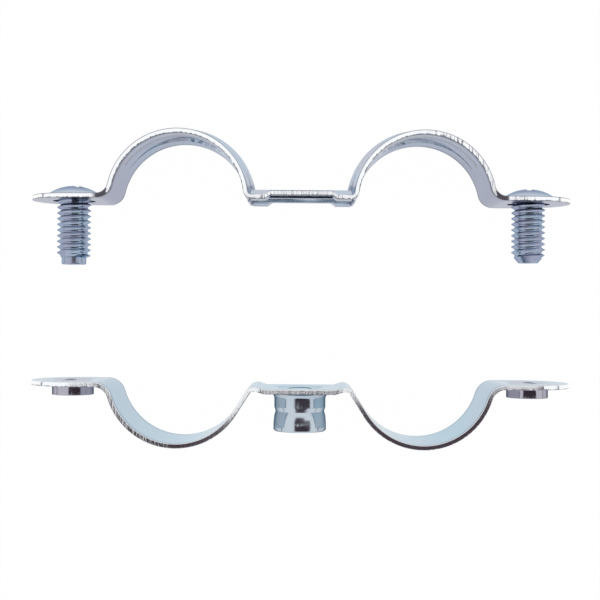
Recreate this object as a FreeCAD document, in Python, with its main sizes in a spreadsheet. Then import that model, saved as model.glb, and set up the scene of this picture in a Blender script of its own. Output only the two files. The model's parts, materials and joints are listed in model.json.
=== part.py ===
"""Double conduit clamp, shown taken apart: two pressed steel straps and two screws.

Frame: X runs along the straps, Y is the way the clamp closes and Z is the axis of the conduits.
The clamp lies on the long edges of its straps. The origin is the centre of the fixing boss's mouth.
Lengths are in millimetres.
"""
import FreeCAD, Part
import math
import os
import Sketcher
from FreeCAD import Placement, Rotation, Vector

SIZES = {
    # pressed strip
    "strap_width": 15.5,
    "strap_thickness": 0.8,
    "cradle_spacing": 42.5,
    "cradle_radius": 11.4,
    "screw_reach": 19.0,
    "ear_margin": 7.25,
    # upper strap
    "upper_ear_height": 0.2,
    "upper_web_height": 0.2,
    "upper_ear_bend": 2.0,
    "upper_web_bend": 0.6,
    "upper_web_crown": 1.4,
    "upper_step_length": 10.6,
    "upper_step_height": 0.65,
    "upper_step_ramp": 0.9,
    "slot_length": 7.5,
    "slot_width": 6.5,
    # stiffening bead of the upper strap
    "bead_flat": 5.8,
    "bead_crown_height": 0.55,
    "bead_fade": 0.55,
    "bead_web_height": 1.2,
    "bead_arc": 150.0,
    # lower strap
    "lower_ear_depth": 1.0,
    "lower_web_depth": 1.6,
    "lower_leg_slope": 58.0,
    "lower_ear_bend": 2.4,
    "lower_web_bend": 0.3,
    "lower_web_crown": 2.0,
    "lower_step_length": 12.2,
    "lower_step_height": 0.45,
    "lower_step_ramp": 1.4,
    # drawn fixing boss
    "boss_height": 6.9,
    "boss_radius": 4.53,
    "boss_waist_radius": 4.3,
    "boss_waist_rise": 3.5,
    "boss_waist_flank": 0.75,
    "boss_mouth_radius": 4.65,
    "boss_lip_height": 1.5,
    "boss_lip_round": 0.25,
    "boss_root_fillet": 1.3,
    "boss_bore_radius": 3.4,
    "boss_entry_round": 1.0,
    # drawn screw collars
    "collar_radius": 3.65,
    "collar_height": 1.8,
    "collar_root_bevel": 0.3,
    "collar_entry_bevel": 0.3,
    # screws
    "thread_radius": 2.95,
    "thread_clearance": 0.06,
    "shank_length": 11.2,
    "tip_length": 1.5,
    "dog_extra_length": 0.8,
    "dog_radius": 2.15,
    "dog_shoulder": 0.3,
    "cone_radius": 1.8,
    "head_radius": 4.6,
    "head_rim": 0.35,
    "head_rim_round": 0.1,
    "head_height": 1.9,
    "recess_width": 1.2,
    "recess_length": 5.0,
    "recess_depth": 1.0,
    "left_recess_turn": 35.0,
    # how far apart the halves lie
    "opening_travel": 30.4,
}

PLANE_ROLES = {"side": "XY_Plane", "plan": "XZ_Plane", "section": "YZ_Plane"}
FIRST_VALUE_ROW = 2
ORIGIN = -1
VERTICAL_AXIS = -2
START = 1
END = 2
CENTRE = 3
NEAR = 1e-3

doc = FreeCAD.newDocument("conduit_strap")
sheet = doc.addObject("Spreadsheet::Sheet", "Sizes")


def fill_sheet():
    """Write every size to the sheet as text and give its cell an alias."""
    for row, (name, number) in enumerate(SIZES.items(), start=FIRST_VALUE_ROW):
        sheet.set(f"A{row}", name)
        sheet.set(f"B{row}", str(number))
        sheet.setAlias(f"B{row}", name)
    doc.recompute()


def value(expression):
    """The number that an expression over the sheet gives."""
    result = sheet.evalExpression(expression)
    return float(getattr(result, "Value", result))


# ---------------------------------------------------------------- sketch helpers

def add_body(name):
    body = doc.addObject("PartDesign::Body", name)
    body.Label = name
    return body


def add_sketch(body, name, view, height=None):
    """A sketch on one of the body's origin planes; height lifts a plan sketch along +Y."""
    sketch = body.newObject("Sketcher::SketchObject", name)
    role = PLANE_ROLES[view]
    plane = next(item for item in body.Origin.OriginFeatures if item.Role == role)
    sketch.AttachmentSupport = [(plane, "")]
    sketch.MapMode = "FlatFace"
    if height is not None:
        sketch.setExpression("AttachmentOffset.Base.z", f"-({height})")
    return sketch


def bind(sketch, constraint, expression):
    index = sketch.addConstraint(constraint)
    sketch.setExpression(f"Constraints[{index}]", expression)


def locate(sketch, geometry, point, x, y):
    """Hold a point of the sketch at coordinates given by two expressions."""
    for kind, expression in (("DistanceX", x), ("DistanceY", y)):
        distance = Sketcher.Constraint(kind, ORIGIN, START, geometry, point, value(expression))
        bind(sketch, distance, expression)


def join(sketch, first, second):
    sketch.addConstraint(Sketcher.Constraint("Coincident", first, END, second, START))


def add_outline(sketch, corners, domed=False):
    """A closed outline through corners given as pairs of expressions.

    Its sides are straight. If it is domed, its last side is an arc centred on the vertical axis.
    """
    points = [Vector(value(x), value(y), 0) for x, y in corners]
    curves = [Part.LineSegment(start, end) for start, end in zip(points, points[1:] + points[:1])]
    if domed:
        curves[-1] = dome_arc(points[-1], points[0])
    sides = [sketch.addGeometry(curve, False) for curve in curves]
    for side, (x, y) in zip(sides, corners):
        locate(sketch, side, START, x, y)
    for side, following in zip(sides, sides[1:] + sides[:1]):
        join(sketch, side, following)
    if domed:
        sketch.addConstraint(Sketcher.Constraint("PointOnObject", sides[-1], CENTRE, VERTICAL_AXIS))


def dome_arc(rim, top):
    """The arc from a rim up to the top of a dome on the vertical axis."""
    rise = top.y - rim.y
    radius = (rim.x ** 2 + rise ** 2) / (2 * rise)
    centre = Vector(0, top.y - radius, 0)
    start = math.atan2(rim.y - centre.y, rim.x)
    return Part.ArcOfCircle(Part.Circle(centre, Vector(0, 0, 1), radius), start, math.pi / 2)


def add_circle(sketch, x, y, radius):
    circle = Part.Circle(Vector(value(x), value(y), 0), Vector(0, 0, 1), value(radius))
    index = sketch.addGeometry(circle, False)
    locate(sketch, index, CENTRE, x, y)
    bind(sketch, Sketcher.Constraint("Radius", index, value(radius)), radius)


def add_round_slot(sketch, x, half_straight, radius):
    """A slot along X with round ends, centred at x on the sketch's X axis."""
    centre, reach, round_end = value(x), value(half_straight), value(radius)
    up = Vector(0, 0, 1)
    right = Part.Circle(Vector(centre + reach, 0, 0), up, round_end)
    left = Part.Circle(Vector(centre - reach, 0, 0), up, round_end)
    right_arc = sketch.addGeometry(Part.ArcOfCircle(right, -math.pi / 2, math.pi / 2), False)
    left_arc = sketch.addGeometry(Part.ArcOfCircle(left, math.pi / 2, 3 * math.pi / 2), False)
    top_ends = Vector(centre + reach, round_end, 0), Vector(centre - reach, round_end, 0)
    base_ends = Vector(centre - reach, -round_end, 0), Vector(centre + reach, -round_end, 0)
    top = sketch.addGeometry(Part.LineSegment(*top_ends), False)
    base = sketch.addGeometry(Part.LineSegment(*base_ends), False)
    for first, second in ((right_arc, top), (top, left_arc), (left_arc, base), (base, right_arc)):
        sketch.addConstraint(Sketcher.Constraint("Tangent", first, END, second, START))
    locate(sketch, right_arc, CENTRE, f"{x} + {half_straight}", "0")
    locate(sketch, left_arc, CENTRE, f"{x} - {half_straight}", "0")
    bind(sketch, Sketcher.Constraint("Radius", right_arc, round_end), radius)


def add_tongue(sketch, direction, root, centre, radius):
    """A tongue along the sketch's X axis, square at its root and round about its centre."""
    start, middle, half = direction * value(root), direction * value(centre), direction * value(radius)
    side_ends = Vector(start, -half, 0), Vector(middle, -half, 0)
    return_ends = Vector(middle, half, 0), Vector(start, half, 0)
    circle = Part.Circle(Vector(middle, 0, 0), Vector(0, 0, 1), abs(half))
    first_angle = -math.pi / 2 if direction > 0 else math.pi / 2
    side = sketch.addGeometry(Part.LineSegment(*side_ends), False)
    end = sketch.addGeometry(Part.ArcOfCircle(circle, first_angle, first_angle + math.pi), False)
    back = sketch.addGeometry(Part.LineSegment(*return_ends), False)
    base = sketch.addGeometry(Part.LineSegment(return_ends[1], side_ends[0]), False)
    for first, second in ((side, end), (end, back)):
        sketch.addConstraint(Sketcher.Constraint("Tangent", first, END, second, START))
    join(sketch, back, base)
    join(sketch, base, side)
    sketch.addConstraint(Sketcher.Constraint("Vertical", base))
    sign = "" if direction > 0 else "-"
    locate(sketch, end, CENTRE, f"{sign}{centre}", "0")
    bind(sketch, Sketcher.Constraint("Radius", end, abs(half)), radius)
    reach = Sketcher.Constraint("DistanceX", ORIGIN, START, base, START, start)
    bind(sketch, reach, f"{sign}{root}")
    sketch.addConstraint(Sketcher.Constraint("Horizontal", side))


def add_half_disc(sketch, x, base, radius):
    """A disc about (x, 0), cut off along the level line y = base."""
    centre, level, size = value(x), value(base), value(radius)
    reach = math.sqrt(size ** 2 - level ** 2)
    angle = math.asin(level / size)
    disc = Part.Circle(Vector(centre, 0, 0), Vector(0, 0, 1), size)
    arc = sketch.addGeometry(Part.ArcOfCircle(disc, angle, math.pi - angle), False)
    ends = Vector(centre - reach, level, 0), Vector(centre + reach, level, 0)
    chord = sketch.addGeometry(Part.LineSegment(*ends), False)
    join(sketch, arc, chord)
    join(sketch, chord, arc)
    sketch.addConstraint(Sketcher.Constraint("Horizontal", chord))
    locate(sketch, arc, CENTRE, x, "0")
    bind(sketch, Sketcher.Constraint("Radius", arc, size), radius)
    height = Sketcher.Constraint("DistanceY", ORIGIN, START, chord, START, level)
    bind(sketch, height, base)


# ---------------------------------------------------------------- feature helpers

def extrude(body, kind, sketch, name, length, symmetric=False, reverse=False):
    """A Pad or Pocket of a sketch over a length given as an expression."""
    feature = body.newObject(f"PartDesign::{kind}", name)
    feature.Profile = sketch
    feature.Midplane = symmetric
    feature.Reversed = reverse
    feature.setExpression("Length", length)
    sketch.Visibility = False
    return feature


def revolve(body, kind, sketch, name, angle="360", axis="V_Axis", reverse=False):
    """A Revolution or Groove of a sketch about one of its own axes."""
    feature = body.newObject(f"PartDesign::{kind}", name)
    feature.Profile = sketch
    feature.ReferenceAxis = (sketch, [axis])
    feature.Reversed = reverse
    feature.setExpression("Angle", angle)
    sketch.Visibility = False
    return feature


def fillet(body, name, edges, radius):
    """Round the named edges of the body's tip."""
    tip = body.Tip
    feature = body.newObject("PartDesign::Fillet", name)
    feature.Base = (tip, edges)
    feature.setExpression("Radius", radius)
    doc.recompute()
    return feature


def chamfer(body, name, edges, size):
    """Bevel the named edges of the body's tip."""
    tip = body.Tip
    feature = body.newObject("PartDesign::Chamfer", name)
    feature.Base = (tip, edges)
    feature.setExpression("Size", size)
    doc.recompute()
    return feature


def cross_edges(body, x, y):
    """Names of the edges of the tip that run along Z through (x, y) or (-x, y)."""
    names = []
    for number, edge in enumerate(body.Tip.Shape.Edges, start=1):
        points = [vertex.Point for vertex in edge.Vertexes]
        crosses = len(points) == 2 and abs(points[0].z - points[1].z) > NEAR
        if crosses and all(abs(abs(point.x) - x) < NEAR and abs(point.y - y) < NEAR for point in points):
            names.append(f"Edge{number}")
    return names


def ring_edges(body, radius, y, x=0.0):
    """Names of the circular edges of the tip about the Y axis through (x, y) or (-x, y)."""
    names = []
    for number, edge in enumerate(body.Tip.Shape.Edges, start=1):
        if not isinstance(edge.Curve, Part.Circle):
            continue
        centre = edge.Curve.Center
        same_place = abs(abs(centre.x) - x) < NEAR and abs(centre.y - y) < NEAR
        if same_place and abs(edge.Curve.Radius - radius) < NEAR:
            names.append(f"Edge{number}")
    return names


# ---------------------------------------------------------------- straps

THICKNESS = "Sizes.strap_thickness"
WIDTH = "Sizes.strap_width"
HALF_SPACING = "Sizes.cradle_spacing / 2"
INNER = "Sizes.cradle_radius"
OUTER = f"({INNER} + {THICKNESS})"
SCREW_X = f"({HALF_SPACING} + Sizes.screw_reach)"
HALF_LENGTH = f"({SCREW_X} + Sizes.ear_margin)"
# how far a cut runs past the metal on each side
PAST = "1"
PAST_WIDTH = f"{WIDTH} + 2 * {PAST}"


def press_blank(body, prefix, ear_level, web_level, sloped=False):
    """Strip pressed into two half-round cradles that bulge along +Y, with a round-ended ear at each end.

    The conduit axes lie at y = 0. The conduits enter at ear_level on the ears' side and at web_level
    on the side of the web between them. Legs that are sloped leave their cradles at a tangent.
    """
    web = add_sketch(body, f"{prefix}_web_plan", "plan", web_level)
    add_outline(web, [
        (f"-{HALF_SPACING}", f"-{WIDTH} / 2"),
        (HALF_SPACING, f"-{WIDTH} / 2"),
        (HALF_SPACING, f"{WIDTH} / 2"),
        (f"-{HALF_SPACING}", f"{WIDTH} / 2"),
    ])
    extrude(body, "Pad", web, f"{prefix}_web", THICKNESS, reverse=True)

    humps = add_sketch(body, f"{prefix}_hump_outline", "side")
    for side in ("-", ""):
        add_half_disc(humps, f"{side}{HALF_SPACING}", f"{ear_level} + {THICKNESS} / 2", OUTER)
    extrude(body, "Pad", humps, f"{prefix}_humps", WIDTH, symmetric=True)
    if sloped:
        web_face = f"({web_level} + {THICKNESS})"
        legs = leg_sketch(body, prefix, "leg", OUTER, web_face, web_face)
        extrude(body, "Pad", legs, f"{prefix}_legs", WIDTH, symmetric=True)

    ears = add_sketch(body, f"{prefix}_ear_plan", "plan", ear_level)
    for direction in (1, -1):
        add_tongue(ears, direction, HALF_SPACING, f"({HALF_LENGTH} - {WIDTH} / 2)", f"{WIDTH} / 2")
    extrude(body, "Pad", ears, f"{prefix}_ears", THICKNESS, reverse=True)

    bores = add_sketch(body, f"{prefix}_cradle_outline", "side")
    for side in ("-", ""):
        add_circle(bores, f"{side}{HALF_SPACING}", "0", INNER)
    extrude(body, "Pocket", bores, f"{prefix}_cradles", PAST_WIDTH, symmetric=True)
    if sloped:
        inside = leg_sketch(body, prefix, "leg_inside", INNER, web_level, f"-{PAST}")
        extrude(body, "Pocket", inside, f"{prefix}_leg_inside", PAST_WIDTH, symmetric=True)
    doc.recompute()

    bend = f"Sizes.{prefix}_ear_bend"
    outside = value(f"{ear_level} + {THICKNESS}")
    reach = math.sqrt(value(OUTER) ** 2 - outside ** 2)
    hollow = cross_edges(body, value(HALF_SPACING) + reach, outside)
    fillet(body, f"{prefix}_ear_bend_inside", hollow, bend)
    reach = math.sqrt(value(INNER) ** 2 - value(ear_level) ** 2)
    corner = cross_edges(body, value(HALF_SPACING) + reach, value(ear_level))
    fillet(body, f"{prefix}_ear_bend_outside", corner, f"{bend} + {THICKNESS}")

    for radius, level, name in ((OUTER, f"({web_level} + {THICKNESS})", "bend"), (INNER, web_level, "crown")):
        if sloped:
            foot = value(leg_foot(prefix, radius, level))
        else:
            foot = value(HALF_SPACING) - math.sqrt(value(radius) ** 2 - value(level) ** 2)
        edges = cross_edges(body, foot, value(level))
        fillet(body, f"{prefix}_web_{name}", edges, f"Sizes.{prefix}_web_{name}")


def leg_tangent(prefix, radius):
    """Where a sloped leg leaves its cradle's circle."""
    slope = f"Sizes.{prefix}_leg_slope * 1 deg"
    return f"({HALF_SPACING} - {radius} * sin({slope}))", f"({radius} * cos({slope}))"


def leg_foot(prefix, radius, level):
    """How far from the middle a sloped leg reaches a level."""
    x, y = leg_tangent(prefix, radius)
    return f"({x} - ({y} - {level}) / tan(Sizes.{prefix}_leg_slope * 1 deg))"


def leg_sketch(body, prefix, name, radius, level, base):
    """The area between a pair of sloped legs' lines, their cradles' axes and a base level."""
    sketch = add_sketch(body, f"{prefix}_{name}_outline", "side")
    x, y = leg_tangent(prefix, radius)
    foot = leg_foot(prefix, radius, level)
    corners = [(x, y), (foot, level), (foot, base), (HALF_SPACING, base), (HALF_SPACING, y)]
    if base == level:
        corners.remove((foot, base))
    for side in ("-", ""):
        add_outline(sketch, [(f"{side}({across})", height) for across, height in corners])
    return sketch


def step_web(body, level, prefix):
    """Shift the middle of the web outwards by a small step with sloping ends."""
    height = f"Sizes.{prefix}_step_height"
    half = f"Sizes.{prefix}_step_length / 2"
    foot = f"({half} + Sizes.{prefix}_step_ramp)"
    middle = f"{level} + {THICKNESS} / 2"
    raised = add_sketch(body, f"{prefix}_step_outline", "side")
    add_outline(raised, [
        (f"-{foot}", middle),
        (foot, middle),
        (foot, f"{level} + {THICKNESS}"),
        (half, f"{level} + {THICKNESS} + {height}"),
        (f"-{half}", f"{level} + {THICKNESS} + {height}"),
        (f"-{foot}", f"{level} + {THICKNESS}"),
    ])
    extrude(body, "Pad", raised, f"{prefix}_step", WIDTH, symmetric=True)
    hollow = add_sketch(body, f"{prefix}_step_hollow_outline", "side")
    add_outline(hollow, [
        (f"-{foot}", level),
        (f"-{half}", f"{level} + {height}"),
        (half, f"{level} + {height}"),
        (foot, level),
    ])
    extrude(body, "Pocket", hollow, f"{prefix}_step_hollow", PAST_WIDTH, symmetric=True)


def upper_strap():
    body = add_body("upper_strap")
    ear_level = "Sizes.upper_ear_height"
    web_level = "Sizes.upper_web_height"
    press_blank(body, "upper", ear_level, web_level)
    step_web(body, web_level, "upper")
    press_bead(body, web_level)

    slots = add_sketch(body, "ear_slot_outline", "plan", f"{ear_level} - {PAST}")
    for side in ("-", ""):
        straight = "(Sizes.slot_length - Sizes.slot_width) / 2"
        add_round_slot(slots, f"{side}{SCREW_X}", straight, "Sizes.slot_width / 2")
    extrude(body, "Pocket", slots, "ear_slots", f"{THICKNESS} + 2 * {PAST}")
    return body


def press_bead(body, level):
    """Hat-section bead along the web and over both humps, fading out towards the ears.

    Its arc over each hump is centred a little nearer the web than the cradle, so it stands highest at
    the web and sinks into the strip before the ear.
    """
    flat = "Sizes.bead_flat / 2"
    inner_flat = f"({flat} - {THICKNESS} * tan(22.5 deg))"
    crown = f"({OUTER} + Sizes.bead_crown_height)"
    hollow = f"({INNER} + Sizes.bead_crown_height)"
    base = f"({INNER} + {THICKNESS} / 8)"
    centre = f"({HALF_SPACING} - Sizes.bead_fade)"
    web_half = f"({centre} - {INNER} - {THICKNESS} / 2)"
    web_top = f"({level} + {THICKNESS} + Sizes.bead_web_height)"
    web_base = f"({level} + {THICKNESS} / 2)"
    web_hollow = f"({level} + Sizes.bead_web_height)"

    for side, name in (("-", "left"), ("", "right")):
        ridge = bead_section(body, f"{name}_ridge_outline", side, centre, base, crown, flat)
        revolve(body, "Revolution", ridge, f"{name}_ridge", "Sizes.bead_arc", "Axis0", side == "")
    web = add_sketch(body, "web_ridge_outline", "section")
    add_outline(web, trapezoid(web_base, web_top, flat))
    extrude(body, "Pad", web, "web_ridge", f"2 * {web_half}", symmetric=True)

    trim = add_sketch(body, "cradle_trim_outline", "side")
    for side in ("-", ""):
        add_circle(trim, f"{side}{HALF_SPACING}", "0", INNER)
    extrude(body, "Pocket", trim, "cradle_trim", PAST_WIDTH, symmetric=True)

    deep = f"({INNER} - 2 * {PAST})"
    for side, name in (("-", "left"), ("", "right")):
        groove = bead_section(body, f"{name}_hollow_outline", side, centre, deep, hollow, inner_flat)
        revolve(body, "Groove", groove, f"{name}_hollow", "Sizes.bead_arc", "Axis0", side == "")
    below = add_sketch(body, "web_hollow_outline", "section")
    add_outline(below, trapezoid(f"({level} - {PAST} / 2)", web_hollow, inner_flat))
    extrude(body, "Pocket", below, "web_hollow", f"2 * {web_half}", symmetric=True)


def trapezoid(base, top, half_flat):
    """Corners of a symmetric section: base and top levels, half the flat at the top, 45 degree sides."""
    half_base = f"({half_flat} + {top} - {base})"
    return [(base, f"-{half_base}"), (top, f"-({half_flat})"), (top, half_flat), (base, half_base)]


def bead_section(body, name, side, centre, base, top, half_flat):
    """Bead section on the web's side of a cradle, with the cradle's shifted axis as its Axis0."""
    sketch = add_sketch(body, name, "plan")
    outward = "+" if side == "-" else "-"
    sign = "-" if side == "-" else ""
    corners = []
    for radius, width in trapezoid(base, top, half_flat):
        corners.append((f"{sign}{centre} {outward} {radius}", width))
    add_outline(sketch, corners)
    middle = value(f"{sign}{centre}")
    axis = sketch.addGeometry(Part.LineSegment(Vector(middle, -1, 0), Vector(middle, 1, 0)), True)
    locate(sketch, axis, START, f"{sign}{centre}", "-1")
    locate(sketch, axis, END, f"{sign}{centre}", "1")
    return sketch


def lower_strap():
    """The strap with the fixing boss, made hump up and turned over at the end."""
    body = add_body("lower_strap")
    ear_level = "Sizes.lower_ear_depth"
    web_level = "Sizes.lower_web_depth"
    press_blank(body, "lower", ear_level, web_level, sloped=True)
    step_web(body, web_level, "lower")
    draw_boss(body, f"({web_level} + Sizes.lower_step_height)")
    draw_collars(body, ear_level)
    return body


def draw_boss(body, web_inside):
    """Threaded boss drawn out of the web, with a creased waist and a slightly wider lip at its mouth."""
    web_face = f"({web_inside} + {THICKNESS})"
    root = f"{web_face} - {THICKNESS} / 2"
    mouth = f"({web_face} + Sizes.boss_height)"
    waist = f"({mouth} - Sizes.boss_waist_rise)"
    barrel = add_sketch(body, "boss_outline", "side")
    add_outline(barrel, [
        ("0", root),
        ("Sizes.boss_radius", root),
        ("Sizes.boss_radius", f"{waist} - Sizes.boss_waist_flank"),
        ("Sizes.boss_waist_radius", waist),
        ("Sizes.boss_radius", f"{waist} + Sizes.boss_waist_flank"),
        ("Sizes.boss_mouth_radius", f"{mouth} - Sizes.boss_lip_height"),
        ("Sizes.boss_mouth_radius", f"{mouth} - Sizes.boss_lip_round"),
        ("Sizes.boss_mouth_radius - Sizes.boss_lip_round", mouth),
        ("0", mouth),
    ])
    revolve(body, "Revolution", barrel, "boss")
    doc.recompute()
    foot = ring_edges(body, value("Sizes.boss_radius"), value(web_face))
    fillet(body, "boss_root", foot, "Sizes.boss_root_fillet")
    bore = add_sketch(body, "boss_bore_outline", "plan", f"{web_inside} - {PAST}")
    add_circle(bore, "0", "0", "Sizes.boss_bore_radius")
    extrude(body, "Pocket", bore, "boss_bore", f"{THICKNESS} + Sizes.boss_height + 2 * {PAST}")
    doc.recompute()
    entry = ring_edges(body, value("Sizes.boss_bore_radius"), value(web_inside))
    fillet(body, "boss_entry", entry, "Sizes.boss_entry_round")


def draw_collars(body, level):
    """Threaded collars drawn out of the ears for the two screws."""
    face = f"({level} + {THICKNESS})"
    collars = add_sketch(body, "collar_outline", "plan", f"{face} - {THICKNESS} / 2")
    bores = add_sketch(body, "collar_bore_outline", "plan", f"{level} - {PAST}")
    bore_radius = "Sizes.thread_radius + Sizes.thread_clearance"
    for side in ("-", ""):
        add_circle(collars, f"{side}{SCREW_X}", "0", "Sizes.collar_radius")
        add_circle(bores, f"{side}{SCREW_X}", "0", bore_radius)
    extrude(body, "Pad", collars, "collars", f"Sizes.collar_height + {THICKNESS} / 2", reverse=True)
    doc.recompute()
    root = ring_edges(body, value("Sizes.collar_radius"), value(face), value(SCREW_X))
    chamfer(body, "collar_roots", root, "Sizes.collar_root_bevel")
    extrude(body, "Pocket", bores, "collar_bores", f"{THICKNESS} + Sizes.collar_height + 2 * {PAST}")
    doc.recompute()
    entry = ring_edges(body, value(bore_radius), value(level), value(SCREW_X))
    chamfer(body, "collar_entries", entry, "Sizes.collar_entry_bevel")


# ---------------------------------------------------------------- screws

def clamp_screw(name, tip):
    """Pan-head screw, head up, with the underside of its head at y = 0.

    The shank has the thread's outer diameter. Its tip is a cone or a longer dog point.
    """
    body = add_body(name)
    end = "-Sizes.shank_length"
    tip_corners = [("Sizes.cone_radius", end)]
    if tip == "dog":
        end = "-(Sizes.shank_length + Sizes.dog_extra_length)"
        shoulder = f"{end} + Sizes.tip_length - Sizes.dog_shoulder"
        tip_corners = [("Sizes.dog_radius", end), ("Sizes.dog_radius", shoulder)]
    profile = add_sketch(body, f"{name}_outline", "side")
    add_outline(profile, [
        ("0", "Sizes.head_height"),
        ("0", end),
        *tip_corners,
        ("Sizes.thread_radius", f"{end} + Sizes.tip_length"),
        ("Sizes.thread_radius", "0"),
        ("Sizes.head_radius - Sizes.head_rim_round", "0"),
        ("Sizes.head_radius", "Sizes.head_rim_round"),
        ("Sizes.head_radius", "Sizes.head_rim"),
    ], domed=True)
    revolve(body, "Revolution", profile, f"{name}_turned")

    recess = add_sketch(body, f"{name}_recess_outline", "plan", "Sizes.head_height - Sizes.recess_depth")
    arm = "Sizes.recess_length / 2"
    flank = "Sizes.recess_width / 2"
    add_outline(recess, [
        (arm, f"-{flank}"), (arm, flank), (flank, flank), (flank, arm),
        (f"-{flank}", arm), (f"-{flank}", flank), (f"-{arm}", flank), (f"-{arm}", f"-{flank}"),
        (f"-{flank}", f"-{flank}"), (f"-{flank}", f"-{arm}"), (flank, f"-{arm}"), (flank, f"-{flank}"),
    ])
    extrude(body, "Pocket", recess, f"{name}_recess", f"Sizes.recess_depth + {PAST}")
    return body


# ---------------------------------------------------------------- assembly

def place(body, x="0", y="0", axis=None, turn="0"):
    """Put a body at (x, y), turned by an angle about one of the frame's directions."""
    if axis is not None:
        body.Placement = Placement(Vector(0, 0, 0), Rotation(axis, value(turn)))
        body.setExpression("Placement.Rotation.Angle", f"{turn} * 1 deg")
    body.setExpression("Placement.Base.x", x)
    body.setExpression("Placement.Base.y", y)


def check(bodies):
    """Stop if any object failed or any piece is not one valid solid."""
    for item in doc.Objects:
        if "Invalid" in item.State or "Error" in item.State:
            raise RuntimeError(f"{item.Name} failed: {item.State}")
    for body in bodies:
        shape = body.Shape
        if shape.isNull() or not shape.isValid() or len(shape.Solids) != 1:
            raise RuntimeError(f"{body.Label} is not one valid solid")


fill_sheet()
AXIS_LEVEL = f"(Sizes.lower_web_depth + Sizes.lower_step_height + {THICKNESS} + Sizes.boss_height)"
UPPER_LEVEL = f"({AXIS_LEVEL} + Sizes.opening_travel)"
HEAD_SEAT = f"({UPPER_LEVEL} + Sizes.upper_ear_height + {THICKNESS})"

lower = lower_strap()
place(lower, y=AXIS_LEVEL, axis=Vector(1, 0, 0), turn="180")
upper = upper_strap()
place(upper, y=UPPER_LEVEL)
left_screw = clamp_screw("clamp_screw_left", "dog")
place(left_screw, f"-{SCREW_X}", HEAD_SEAT, Vector(0, 1, 0), "Sizes.left_recess_turn")
right_screw = clamp_screw("clamp_screw_right", "cone")
place(right_screw, SCREW_X, HEAD_SEAT)

pieces = [lower, upper, left_screw, right_screw]
doc.recompute()
check(pieces)
os.makedirs("parts", exist_ok=True)
for piece in pieces:
    piece.Shape.exportStep(f"parts/{piece.Label}.step")
    box = piece.Shape.BoundBox
    print(piece.Label, round(piece.Shape.Volume, 2), "mm3", [round(v, 2) for v in (
        box.XMin, box.XMax, box.YMin, box.YMax, box.ZMin, box.ZMax)])
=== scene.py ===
import json
import math

import bmesh
import bpy
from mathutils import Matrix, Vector
from mathutils.bvhtree import BVHTree


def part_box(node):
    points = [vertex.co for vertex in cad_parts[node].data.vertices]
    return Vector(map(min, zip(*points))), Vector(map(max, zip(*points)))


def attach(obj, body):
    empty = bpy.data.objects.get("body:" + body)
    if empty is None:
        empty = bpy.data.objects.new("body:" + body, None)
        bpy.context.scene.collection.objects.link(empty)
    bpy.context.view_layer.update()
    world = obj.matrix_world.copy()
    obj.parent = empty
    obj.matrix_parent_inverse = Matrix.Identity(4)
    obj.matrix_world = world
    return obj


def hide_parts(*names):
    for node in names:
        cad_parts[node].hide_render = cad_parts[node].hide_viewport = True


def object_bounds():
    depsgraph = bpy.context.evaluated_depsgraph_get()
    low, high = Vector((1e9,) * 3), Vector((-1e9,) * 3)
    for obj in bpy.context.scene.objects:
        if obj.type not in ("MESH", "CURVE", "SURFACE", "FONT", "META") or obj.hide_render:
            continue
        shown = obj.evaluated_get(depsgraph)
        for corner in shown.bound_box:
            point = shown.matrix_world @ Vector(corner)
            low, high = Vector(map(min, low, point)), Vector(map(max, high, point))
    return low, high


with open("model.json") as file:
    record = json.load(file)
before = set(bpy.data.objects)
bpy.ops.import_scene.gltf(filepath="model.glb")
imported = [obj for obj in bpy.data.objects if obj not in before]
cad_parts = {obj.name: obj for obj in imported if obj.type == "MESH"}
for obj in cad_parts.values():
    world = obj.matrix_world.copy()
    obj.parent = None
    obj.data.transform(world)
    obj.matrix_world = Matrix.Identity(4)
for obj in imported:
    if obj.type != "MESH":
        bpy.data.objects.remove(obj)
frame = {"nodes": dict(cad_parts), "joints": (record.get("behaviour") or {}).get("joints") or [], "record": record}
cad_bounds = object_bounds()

# Double conduit clamp lying on the long edges of its straps: X runs along them, Y closes the clamp, Z is up.

MM = 0.001
NODES = frame["nodes"]
MOUNTS = {mount["name"]: mount for mount in frame["record"]["mounts"]}
CAP_BODY = "cap_half"
BASE_BODY = "base_half"

STRIP_WIDTH = MOUNTS["left_cradle"]["dims"]["length_mm"] * MM
STRIP_THICKNESS = 0.8 * MM
CRADLE_RADIUS = MOUNTS["left_cradle"]["dims"]["r_mm"] * MM
CRADLE_X = MOUNTS["right_cradle"]["pos_m"][0]
EAR_CENTRE_X = cad_bounds[1].x - STRIP_WIDTH / 2
BASE_AXIS_Y = MOUNTS["right_cradle"]["pos_m"][1]
CLOSING_TRAVEL = frame["joints"][0]["range_m"][1]
CAP_AXIS_Y = BASE_AXIS_Y + CLOSING_TRAVEL
HEAD_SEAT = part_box("upper_strap")[0].y + STRIP_THICKNESS


# ---------------------------------------------------------------- node helpers

def rgb(red, green, blue):
    return (red, green, blue, 1.0)


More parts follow.
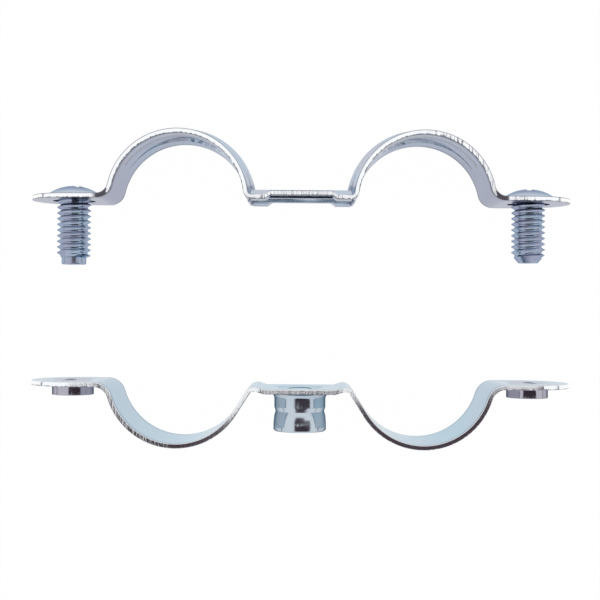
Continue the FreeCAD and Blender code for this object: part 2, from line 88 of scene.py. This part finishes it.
class Nodes:
    """A node tree with short calls for the nodes used here."""

    def __init__(self, tree):
        self.tree = tree

    def node(self, kind, **settings):
        item = self.tree.nodes.new(kind)
        for name, setting in settings.items():
            setattr(item, name, setting)
        return item

    def link(self, source, target):
        self.tree.links.new(source, target)

    def put(self, value, socket):
        """Link a socket, or write a plain value."""
        if hasattr(value, "is_output"):
            self.link(value, socket)
        else:
            socket.default_value = value

    def place(self):
        return self.node("ShaderNodeTexCoord").outputs["Object"]

    def attribute(self, name):
        return self.node("ShaderNodeAttribute", attribute_name=name).outputs["Fac"]

    def math(self, operation, *values, clamp=False):
        item = self.node("ShaderNodeMath", operation=operation, use_clamp=clamp)
        for value, socket in zip(values, item.inputs):
            self.put(value, socket)
        return item.outputs[0]

    def split(self, vector):
        item = self.node("ShaderNodeSeparateXYZ")
        self.link(vector, item.inputs[0])
        return item.outputs[0], item.outputs[1], item.outputs[2]

    def join(self, x, y, z):
        item = self.node("ShaderNodeCombineXYZ")
        for value, socket in zip((x, y, z), item.inputs):
            self.put(value, socket)
        return item.outputs[0]

    def stretch(self, vector, scale):
        item = self.node("ShaderNodeMapping")
        self.link(vector, item.inputs["Vector"])
        item.inputs["Scale"].default_value = scale
        return item.outputs[0]

    def noise(self, vector, scale, detail=2.0, roughness=0.5):
        item = self.node("ShaderNodeTexNoise")
        self.link(vector, item.inputs["Vector"])
        item.inputs["Scale"].default_value = scale
        item.inputs["Detail"].default_value = detail
        item.inputs["Roughness"].default_value = roughness
        return item.outputs["Fac"]

    def ramp(self, value, low, high, start=0.0, end=1.0, step="SMOOTHSTEP"):
        """A value's step from start at low to end at high."""
        item = self.node("ShaderNodeMapRange", interpolation_type=step)
        self.put(value, item.inputs["Value"])
        for name, number in (("From Min", low), ("From Max", high), ("To Min", start), ("To Max", end)):
            self.put(number, item.inputs[name])
        return item.outputs[0]

    def mix(self, factor, first, second):
        item = self.node("ShaderNodeMix", data_type="RGBA")
        self.put(factor, item.inputs[0])
        self.put(first, item.inputs[6])
        self.put(second, item.inputs[7])
        return item.outputs[2]


class Shader(Nodes):
    """A new material with its surface and output nodes."""

    def __init__(self, name):
        self.material = bpy.data.materials.new(name)
        self.material.use_nodes = True
        super().__init__(self.material.node_tree)
        self.surface = self.tree.nodes["Principled BSDF"]
        self.output = self.tree.nodes["Material Output"]

    def metal(self, tint, roughness, edge_tint=rgb(1, 1, 1)):
        self.link(tint, self.surface.inputs["Base Color"])
        self.link(roughness, self.surface.inputs["Roughness"])
        self.surface.inputs["Metallic"].default_value = 1.0
        self.surface.inputs["Specular Tint"].default_value = edge_tint

    def bump(self, height, strength, distance):
        item = self.node("ShaderNodeBump")
        self.link(height, item.inputs["Height"])
        item.inputs["Strength"].default_value = strength
        item.inputs["Distance"].default_value = distance
        self.link(item.outputs[0], self.surface.inputs["Normal"])

    def glow(self, colour):
        item = self.node("ShaderNodeEmission")
        item.inputs["Color"].default_value = colour
        item.inputs["Strength"].default_value = 1.0
        return item.outputs[0]


# ---------------------------------------------------------------- materials

# the plate darkens with painted shade between these distances from the middle of the strip's width
EDGE_SHADE_START = 6.9 * MM
EDGE_SHADE_END = 8.2 * MM
# and blushes between these distances from the middle of its length, at the ears
BLUSH_START = CRADLE_X + 6 * MM
BLUSH_END = CRADLE_X + 13 * MM
# heights on the screw's head between which a painted highlight and painted shade change its colour
HEAD_RIM = HEAD_SEAT + 0.2 * MM
SHOULDER = HEAD_SEAT + 0.8 * MM
CROWN = HEAD_SEAT + 1.6 * MM
# places in the sheared edge's own length, in millimetres, as along_strip() counts it
CROWN_ALONG = 40
EAR_BEND_ALONG = 59
WEB_END_ALONG = 19
# over how many millimetres the torn marks fade out at their ends, and at the web's
TORN_FADE = 4
WEB_FADE = 2
# where the break starts, as a share of the thickness, how far that wanders, and how soon the break is dark
BREAK_START = 0.80
BREAK_WANDER = 0.9
BREAK_FADE = 0.12
BREAK_DARKNESS = 0.85


def screw_zinc(name, main, shoulder_highlight, violet_tone_and_crown_shade, edge_tint):
    """Darker zinc of the screws, its darkness partly painted shade of the thread grooves; the head turns from a
    painted highlight near its seat to a violet top in painted shade.
    """
    shader = Shader(name)
    place = shader.place()
    height = shader.split(place)[1]
    drift = shader.noise(place, 400.0, 2.0)
    tint = shader.mix(shader.ramp(drift, 0.35, 0.65), main, violet_tone_and_crown_shade)
    # painted highlight on the head just above its seat
    tint = shader.mix(shader.ramp(height, HEAD_SEAT, HEAD_RIM), tint, shoulder_highlight)
    # painted shade: the head's top turns violet
    tint = shader.mix(shader.ramp(height, SHOULDER, CROWN), tint, violet_tone_and_crown_shade)
    shader.metal(tint, shader.ramp(drift, 0.3, 0.7, 0.14, 0.28), edge_tint)
    shader.bump(drift, 0.1, 0.05 * MM)
    return shader.material


def zinc_plate(name, main, second, blush, edge_shade, edge_tint):
    """Bright zinc plate, tinted unevenly by its passivation, and darkened by painted shade along the strip's long
    edges.
    """
    shader = Shader(name)
    place = shader.place()
    x, _, z = shader.split(place)
    drift = shader.noise(shader.stretch(place, (1, 1, 0.4)), 90.0, 1.0)
    tint = shader.mix(shader.ramp(drift, 0.35, 0.65), main, second)
    spots = shader.noise(shader.stretch(place, (1, 1, 2.5)), 160.0, 2.0)
    tint = shader.mix(shader.ramp(spots, 0.52, 0.72, 0.0, 0.8), tint, blush)
    out = shader.math("ABSOLUTE", x)
    tint = shader.mix(shader.ramp(out, BLUSH_START, BLUSH_END, 0.0, 0.7), tint, blush)
    from_middle = shader.math("MULTIPLY_ADD", drift, 1.5 * MM, shader.math("ABSOLUTE", z))
    # painted shade along the strip's long edges
    tint = shader.mix(shader.ramp(from_middle, EDGE_SHADE_START, EDGE_SHADE_END, 0.0, 0.75), tint, edge_shade)
    grain = shader.noise(shader.stretch(place, (1, 1, 8)), 500.0, 3.0)
    shader.metal(tint, shader.ramp(grain, 0.3, 0.7, 0.10, 0.20), edge_tint)
    shader.bump(grain, 0.08, 0.05 * MM)
    return shader.material


def sheared_edge(name, bright, dark, corner, torn_start, torn_end, bend_black):
    """Sheared edge: a rolled corner coloured by a painted reflection, a burnished band, then a ragged break up to
    the burr.

    Torn marks cross the band in the web and between two places in the edge's own length. bend_black is how
    black the edge is where it was stretched, at the ears' bends.
    """
    shader = Shader(name)
    across = shader.attribute("across")
    along = shader.attribute("along")
    out = shader.math("ABSOLUTE", along)
    streaks = shader.noise(shader.join(along, shader.math("MULTIPLY", across, 0.12), 0.0), 2.2, 3.0, 0.7)

    from_torn = shader.math("ABSOLUTE", shader.math("SUBTRACT", along, (torn_start + torn_end) / 2))
    reach = abs(torn_end - torn_start) / 2
    torn = shader.ramp(from_torn, reach - TORN_FADE, reach + TORN_FADE, 1.0, 0.0)
    in_web = shader.ramp(out, WEB_END_ALONG, WEB_END_ALONG + WEB_FADE, 0.7, 0.0)
    torn = shader.math("MAXIMUM", torn, in_web)
    ticks = shader.math("MULTIPLY", shader.ramp(streaks, 0.40, 0.50, 0.8, 0.0), torn)

    start = shader.math("MULTIPLY_ADD", shader.math("SUBTRACT", streaks, 0.5), BREAK_WANDER, BREAK_START)
    past_start = shader.ramp(shader.math("SUBTRACT", across, start), 0.0, BREAK_FADE)
    broken = shader.math("MULTIPLY", past_start, BREAK_DARKNESS)

    from_bend = shader.math("MULTIPLY_ADD", streaks, 1.5, shader.math("SUBTRACT", out, EAR_BEND_ALONG))
    burnt = shader.ramp(shader.math("ABSOLUTE", from_bend), 1.2, 2.2, bend_black, 0.0)

    marks = shader.math("MAXIMUM", shader.math("MAXIMUM", broken, ticks), burnt)
    tint = shader.mix(marks, bright, dark)
    # painted reflection on the rolled corner, dark or white by the colour given
    tint = shader.mix(shader.ramp(across, 0.08, 0.22, 0.85, 0.0), tint, corner)
    shader.metal(tint, shader.ramp(broken, 0.0, 0.8, 0.08, 0.35))
    relief = shader.math("MULTIPLY_ADD", torn, 1.9, 0.1)
    shader.bump(shader.math("MULTIPLY", streaks, relief), 0.6, 0.06 * MM)
    return shader.material


def floor_material():
    """Pale floor that the camera and the metal see as white, with the object's faint shadow."""
    shader = Shader("pale_floor")
    shader.surface.inputs["Base Color"].default_value = rgb(0.9, 0.9, 0.9)
    shader.surface.inputs["Roughness"].default_value = 0.9
    rays = shader.node("ShaderNodeLightPath")
    seen = shader.math("ADD", rays.outputs["Is Camera Ray"], rays.outputs["Is Glossy Ray"])
    seen = shader.math("ADD", seen, rays.outputs["Is Transmission Ray"], clamp=True)
    blend = shader.node("ShaderNodeMixShader")
    shader.link(shader.math("MULTIPLY", seen, 0.99), blend.inputs[0])
    shader.link(shader.surface.outputs[0], blend.inputs[1])
    shader.link(shader.glow(rgb(1, 1, 1)), blend.inputs[2])
    shader.link(blend.outputs[0], shader.output.inputs["Surface"])
    return shader.material


def card_material():
    """Nearly black, with the warm tinge of the dark things about the camera."""
    shader = Shader("dark_card")
    shader.link(shader.glow(rgb(0.055, 0.038, 0.05)), shader.output.inputs["Surface"])
    return shader.material


# ---------------------------------------------------------------- straps

WELD = 1e-6
EDGE_ROUND = 0.09 * MM
SHARP_ANGLE = math.radians(40)
FACET_ANGLE = math.radians(16)
PLATE, SHEARED, DRAWN = 0, 1, 2
# the boss is nearer the middle than its reach, and the collars are further out than theirs
BOSS_REACH = 6.0 * MM
BOSS_TOP = BASE_AXIS_Y - 2.9 * MM
COLLAR_REACH = 36.4 * MM
COLLAR_TOP = BASE_AXIS_Y - 1.9 * MM


def welded(mesh):
    """The mesh in a bmesh, with the corners that its faces share joined again."""
    shape = bmesh.new()
    shape.from_mesh(mesh)
    bmesh.ops.remove_doubles(shape, verts=shape.verts, dist=WELD)
    shape.normal_update()
    return shape


def add_piece(name, mesh, body, node):
    piece = bpy.data.objects.new(name, mesh)
    bpy.context.scene.collection.objects.link(piece)
    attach(piece, body)
    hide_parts(node)
    return piece


def on_sheared_edge(face):
    """Whether a face belongs to the cut outline of the strip: its long sides or its round ends."""
    centre = face.calc_center_median()
    long_side = abs(face.normal.z) > 0.9 and abs(centre.z) > STRIP_WIDTH / 2 - EDGE_ROUND
    from_ear_centre = math.hypot(abs(centre.x) - EAR_CENTRE_X, centre.z)
    round_end = abs(centre.x) > EAR_CENTRE_X and from_ear_centre > STRIP_WIDTH / 2 - 2 * EDGE_ROUND
    return long_side or (round_end and abs(face.normal.y) < 0.5)


def on_drawn_metal(face):
    """Whether a face belongs to the fixing boss or a collar, which are drawn out of the strip."""
    centre = face.calc_center_median()
    on_boss = abs(centre.x) < BOSS_REACH and centre.y < BOSS_TOP
    on_collar = abs(centre.x) > COLLAR_REACH and centre.y < COLLAR_TOP
    return on_boss or on_collar


def sort_faces(shape):
    """Give each face the slot of its material."""
    for face in shape.faces:
        face.smooth = True
        if on_sheared_edge(face):
            face.material_index = SHEARED
        elif on_drawn_metal(face):
            face.material_index = DRAWN
        else:
            face.material_index = PLATE


def conduit_side(shape, axis_y, bulge):
    """Search tree of the strip's broad faces that look towards the conduits.

    The strip's cradles bulge along +Y or -Y from their axis.
    """
    corners = []
    polygons = []
    for face in shape.faces:
        centre = face.calc_center_median()
        beyond_axis = Vector((math.copysign(CRADLE_X, centre.x), axis_y - bulge * CRADLE_RADIUS, centre.z))
        if abs(face.normal.z) < 0.5 and face.normal.dot(beyond_axis - centre) > 0:
            polygons.append(list(range(len(corners), len(corners) + len(face.verts))))
            corners += [vert.co.copy() for vert in face.verts]
    return BVHTree.FromPolygons(corners, polygons)


def along_strip(point):
    """Place in the length of the strip's edge, from the middle to both ends and negative at left."""
    out = abs(point.x) - CRADLE_X
    reach = CRADLE_RADIUS + STRIP_THICKNESS
    arc = CRADLE_RADIUS * math.asin(min(1.0, abs(out) / reach))
    straight = max(0.0, abs(out) - reach)
    return math.copysign(math.copysign(arc + straight, out) / MM + CROWN_ALONG, point.x)


def measure_edge(shape, conduit_faces, bulge):
    """Store each corner's place through the strip's thickness, and its place along the strip."""
    across = shape.verts.layers.float.new("across")
    along = shape.verts.layers.float.new("along")
    for vert in shape.verts:
        from_conduit = min(1.0, conduit_faces.find_nearest(vert.co)[3] / STRIP_THICKNESS)
        vert[across] = 1 - from_conduit if bulge > 0 else from_conduit
        vert[along] = along_strip(vert.co)


def dressed_strap(node, body, axis_y, bulge, materials):
    """The strap with broken edges, and its sheared outline and drawn metal in materials of their own."""
    shape = welded(NODES[node].data)
    conduit_faces = conduit_side(shape, axis_y, bulge)
    sharp = [item for item in shape.edges if item.is_manifold and item.calc_face_angle() > SHARP_ANGLE]
    bmesh.ops.bevel(shape, geom=sharp, offset=EDGE_ROUND, offset_type="OFFSET", segments=2,
                    profile=0.5, affect="EDGES", clamp_overlap=True)
    shape.normal_update()
    measure_edge(shape, conduit_faces, bulge)
    sort_faces(shape)
    mesh = bpy.data.meshes.new(f"{node}_plated")
    shape.to_mesh(mesh)
    shape.free()
    # the solid's own normals no longer fit
    solid_normals = mesh.attributes.get("custom_normal")
    if solid_normals is not None:
        mesh.attributes.remove(solid_normals)
    mesh.set_sharp_from_angle(angle=FACET_ANGLE)
    for material in materials:
        mesh.materials.append(material)
    return add_piece(f"{node}_plated", mesh, body, node)


# ---------------------------------------------------------------- screws

PITCH = 1.0 * MM
CREST_RADIUS = 2.95 * MM
ROOT_RADIUS = 2.38 * MM
# height of the thread's corners within one pitch, as shares of the pitch, and whether each is a crest
THREAD_CORNERS = ((0.0, True), (0.12, True), (0.43, False), (0.69, False))
COLUMNS = 72
RUN_OUT = 0.8 * MM
THREAD_ANGLE = math.radians(70)
TIP_ANGLE = math.radians(35)
# the head is cut off just above its seat, and the shank ends inside it
HEAD_CUT = 0.02 * MM
OVERLAP = 0.3 * MM
# pairs of height above the screw's end and radius there; the thread starts at the last pair but one
DOG_TIP = ((0.0, 2.0 * MM), (0.15 * MM, 2.15 * MM), (1.2 * MM, 2.15 * MM), (1.5 * MM, CREST_RADIUS))
CONE_TIP = ((0.0, 1.7 * MM), (0.1 * MM, 1.8 * MM), (0.11 * MM, 1.81 * MM), (1.5 * MM, CREST_RADIUS))


def tip_radius(above, tip):
    """Radius that the screw's tip allows at a height above the screw's end."""
    for (start_height, start_radius), (end_height, end_radius) in zip(tip, tip[1:]):
        if above <= end_height:
            share = (above - start_height) / (end_height - start_height)
            return start_radius + share * (end_radius - start_radius)
    return CREST_RADIUS


def point_about(axis, radius, angle, height):
    return (axis + radius * math.sin(angle), height, radius * math.cos(angle))


def threaded_shank(shape, axis, low, tip):
    """A right-handed thread on a shank that stands on its tip at low and ends inside the head.

    Each row of corners climbs one pitch in a turn, so that a row's last corner meets the next turn's first.
    """
    thread_low = low + tip[-2][0]
    top = HEAD_SEAT + OVERLAP
    turn_count = math.ceil((top - thread_low) / PITCH) + 1
    rows = []
    for turn in range(-1, turn_count):
        for share, crest in THREAD_CORNERS:
            row = []
            for column in range(COLUMNS + 1):
                turned = column / COLUMNS
                height = thread_low + (turn + share + turned) * PITCH
                height = min(max(height, thread_low), top)
                fade = min(1.0, (top - height) / RUN_OUT)
                radius = ROOT_RADIUS + (CREST_RADIUS - ROOT_RADIUS) * fade * crest
                radius = min(radius, tip_radius(height - low, tip))
                row.append(shape.verts.new(point_about(axis, radius, 2 * math.pi * turned, height)))
            rows.append(row)
    for lower, upper in zip(rows, rows[1:]):
        for column in range(COLUMNS):
            shape.faces.new((lower[column], lower[column + 1], upper[column + 1], upper[column]))


def lathe(shape, axis, profile):
    """Rings about the screw's axis through (radius, height) pairs, closed at a radius of nought."""
    rings = []
    for radius, height in profile:
        if radius == 0:
            rings.append([shape.verts.new((axis, height, 0))])
            continue
        angles = [2 * math.pi * column / COLUMNS for column in range(COLUMNS)]
        rings.append([shape.verts.new(point_about(axis, radius, angle, height)) for angle in angles])
    for first, second in zip(rings, rings[1:]):
        for column in range(COLUMNS):
            following = (column + 1) % COLUMNS
            if len(first) == 1:
                shape.faces.new((first[0], second[following], second[column]))
            elif len(second) == 1:
                shape.faces.new((first[column], first[following], second[0]))
            else:
                shape.faces.new((first[column], first[following], second[following], second[column]))


def screw_head(node, axis):
    """Mesh of the solid screw's head, closed underneath."""
    head = welded(NODES[node].data)
    geometry = head.verts[:] + head.edges[:] + head.faces[:]
    cut = bmesh.ops.bisect_plane(head, geom=geometry, plane_co=(axis, HEAD_SEAT + HEAD_CUT, 0),
                                 plane_no=(0, 1, 0), clear_inner=True)
    rim = [item for item in cut["geom_cut"] if isinstance(item, bmesh.types.BMEdge)]
    bmesh.ops.holes_fill(head, edges=rim)
    mesh = bpy.data.meshes.new(f"{node}_threaded")
    head.to_mesh(mesh)
    head.free()
    return mesh


def threaded_screw(node, tip, material):
    """The screw's own head on a shank with a real thread."""
    low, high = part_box(node)
    axis = (low.x + high.x) / 2
    mesh = screw_head(node, axis)
    shape = bmesh.new()
    threaded_shank(shape, axis, low.y, tip)
    lathe(shape, axis, [(0, low.y)] + [(radius, low.y + height) for height, radius in tip[:-1]])
    lathe(shape, axis, [(ROOT_RADIUS, HEAD_SEAT + OVERLAP), (0, HEAD_SEAT + OVERLAP)])
    bmesh.ops.remove_doubles(shape, verts=shape.verts, dist=WELD)
    bmesh.ops.dissolve_degenerate(shape, edges=shape.edges, dist=WELD / 10)
    bmesh.ops.recalc_face_normals(shape, faces=shape.faces)
    for item in shape.edges:
        in_tip = item.verts[0].co.y < low.y + tip[-1][0]
        item.smooth = item.calc_face_angle(0.0) < (TIP_ANGLE if in_tip else THREAD_ANGLE)
    shape.from_mesh(mesh)
    shape.to_mesh(mesh)
    shape.free()
    mesh.polygons.foreach_set("use_smooth", [True] * len(mesh.polygons))
    mesh.materials.append(material)
    return add_piece(f"{node}_threaded", mesh, CAP_BODY, node)


# ---------------------------------------------------------------- object

# In each zinc plate below, the colour given for the strip's long edges is painted shade.
# The cap and the base are one zinc: the cap's greyer, darker tints are painted shade of its faces turned towards
# the base.
SHADED_CAP_ZINC = zinc_plate(
    "shaded_cap_zinc", main=rgb(0.52, 0.60, 0.70), second=rgb(0.56, 0.60, 0.68), blush=rgb(0.52, 0.49, 0.55),
    edge_shade=rgb(0.04, 0.04, 0.06), edge_tint=rgb(0.57, 0.60, 0.68))
BASE_ZINC = zinc_plate(
    "base_zinc", main=rgb(0.52, 0.66, 0.74), second=rgb(0.58, 0.66, 0.71), blush=rgb(0.62, 0.60, 0.66),
    edge_shade=rgb(0.14, 0.22, 0.30), edge_tint=rgb(0.68, 0.79, 0.86))
DRAWN_ZINC = zinc_plate(
    "drawn_zinc", main=rgb(0.56, 0.62, 0.68), second=rgb(0.44, 0.52, 0.60), blush=rgb(0.44, 0.38, 0.44),
    edge_shade=rgb(0.40, 0.46, 0.52), edge_tint=rgb(0.06, 0.12, 0.18))
# The screws' main colour is darkened as painted shade of their thread grooves and the shadowed floor they mirror;
# the head's colours are a painted highlight and painted shade.
SCREW_ZINC = screw_zinc(
    "screw_zinc", main=rgb(0.36, 0.45, 0.56), shoulder_highlight=rgb(0.52, 0.58, 0.67), violet_tone_and_crown_shade=rgb(0.36, 0.38, 0.50),
    edge_tint=rgb(0.50, 0.60, 0.72))
# The cap edge's dark corner colour is a painted reflection that darkens its outline; the base edge's white corner
# colour is a painted highlight.
CAP_EDGE = sheared_edge(
    "cap_sheared_edge", bright=rgb(0.98, 0.99, 1.0), dark=rgb(0.07, 0.06, 0.08), corner=rgb(0.20, 0.20, 0.26),
    torn_start=41, torn_end=63, bend_black=0.97)
BASE_EDGE = sheared_edge(
    "base_sheared_edge", bright=rgb(0.95, 0.96, 0.98), dark=rgb(0.07, 0.06, 0.08), corner=rgb(1, 1, 1),
    torn_start=-60, torn_end=-40, bend_black=0.2)

dressed_strap("upper_strap", CAP_BODY, CAP_AXIS_Y, 1, (SHADED_CAP_ZINC, CAP_EDGE))
dressed_strap("lower_strap", BASE_BODY, BASE_AXIS_Y, -1, (BASE_ZINC, BASE_EDGE, DRAWN_ZINC))
threaded_screw("clamp_screw_left", DOG_TIP, SCREW_ZINC)
threaded_screw("clamp_screw_right", CONE_TIP, SCREW_ZINC)


# ---------------------------------------------------------------- floor and camera

FLOOR_REACH = 3.0
PICTURE_WIDTH = 106.4 * MM
CAMERA_HEIGHT = 206.5 * MM
CAMERA_ROLL = math.radians(0.43)
PICTURE_CENTRE = Vector((-0.1 * MM, BASE_AXIS_Y + 13.4 * MM, 0))
VIEW_AXIS = Vector((0.9 * MM, BASE_AXIS_Y + 11.8 * MM, 0))


def add_sheet(name, outline, centre, material):
    """A flat level sheet of the studio, with its outline about its centre."""
    mesh = bpy.data.meshes.new(name)
    mesh.from_pydata([(x, y, 0) for x, y in outline], [], [range(len(outline))])
    sheet = bpy.data.objects.new(name, mesh)
    sheet.location = centre
    mesh.materials.append(material)
    bpy.context.scene.collection.objects.link(sheet)
    return sheet


FLOOR = [(-FLOOR_REACH, -FLOOR_REACH), (FLOOR_REACH, -FLOOR_REACH),
         (FLOOR_REACH, FLOOR_REACH), (-FLOOR_REACH, FLOOR_REACH)]
add_sheet("floor", FLOOR, (0, 0, cad_bounds[0].z), floor_material())

camera_data = bpy.data.cameras.new("camera")
camera_data.sensor_width = 36.0
camera_data.lens = camera_data.sensor_width * CAMERA_HEIGHT / PICTURE_WIDTH
camera_data.shift_x = (PICTURE_CENTRE.x - VIEW_AXIS.x) / PICTURE_WIDTH
camera_data.shift_y = (PICTURE_CENTRE.y - VIEW_AXIS.y) / PICTURE_WIDTH
camera_data.clip_start = 0.01
camera_data.clip_end = 10.0
camera = bpy.data.objects.new("camera", camera_data)
camera.location = VIEW_AXIS + Vector((0, 0, CAMERA_HEIGHT))
camera.rotation_euler = (0, 0, CAMERA_ROLL)
bpy.context.scene.collection.objects.link(camera)
bpy.context.scene.camera = camera


# ---------------------------------------------------------------- what the metal mirrors

# outlines of dark things about the camera, in millimetres from it
FRONT_CARD = [(-90, -210), (220, -210), (220, -27.5), (42, -27.5), (42, -31),
              (-15, -31), (-24, -38), (-42, -38), (-42, -27.5), (-90, -27.5)]
MIDDLE_CARD = [(-90, -22), (-12, -22), (-12, -31), (11, -31),
               (11, -22), (220, -22), (220, 5), (-90, 5)]
BACK_CARD = [(-76, 6), (76, 6), (76, 35.5), (-76, 35.5)]
CARD_RISE = 1.0 * MM
SKY = rgb(0.97, 0.985, 1.0)
HORIZON = rgb(0.22, 0.22, 0.28)
# depth of the dark band at the horizon, and how far it rises at the sides, in a sky of radius 1
BAND_DEPTH = 0.10
BAND_RISE = 0.14


def add_card(name, outline, material):
    """A sheet above the camera that only the metal sees."""
    corners = [(x * MM, y * MM) for x, y in outline]
    card = add_sheet(name, corners, camera.location + Vector((0, 0, CARD_RISE)), material)
    card.visible_camera = False
    card.visible_diffuse = False
    card.visible_shadow = False


def light_sky(world):
    """White soft light from above, over a dark band at the horizon that the camera doesn't see."""
    nodes = Nodes(world.node_tree)
    side, _, up = nodes.split(nodes.node("ShaderNodeTexCoord").outputs["Generated"])
    above_band = nodes.math("MULTIPLY_ADD", nodes.math("MULTIPLY", side, side), -BAND_RISE, up)
    light = nodes.ramp(above_band, -BAND_DEPTH, 0.0, step="LINEAR")
    rays = nodes.node("ShaderNodeLightPath")
    light = nodes.math("MAXIMUM", light, rays.outputs["Is Camera Ray"])
    nodes.link(nodes.mix(light, HORIZON, SKY), nodes.tree.nodes["Background"].inputs["Color"])


DARK = card_material()
add_card("front_card", FRONT_CARD, DARK)
add_card("middle_card", MIDDLE_CARD, DARK)
add_card("back_card", BACK_CARD, DARK)

world = bpy.data.worlds.new("studio")
world.use_nodes = True
light_sky(world)
bpy.context.scene.world = world
bpy.context.scene.view_settings.view_transform = "Standard"
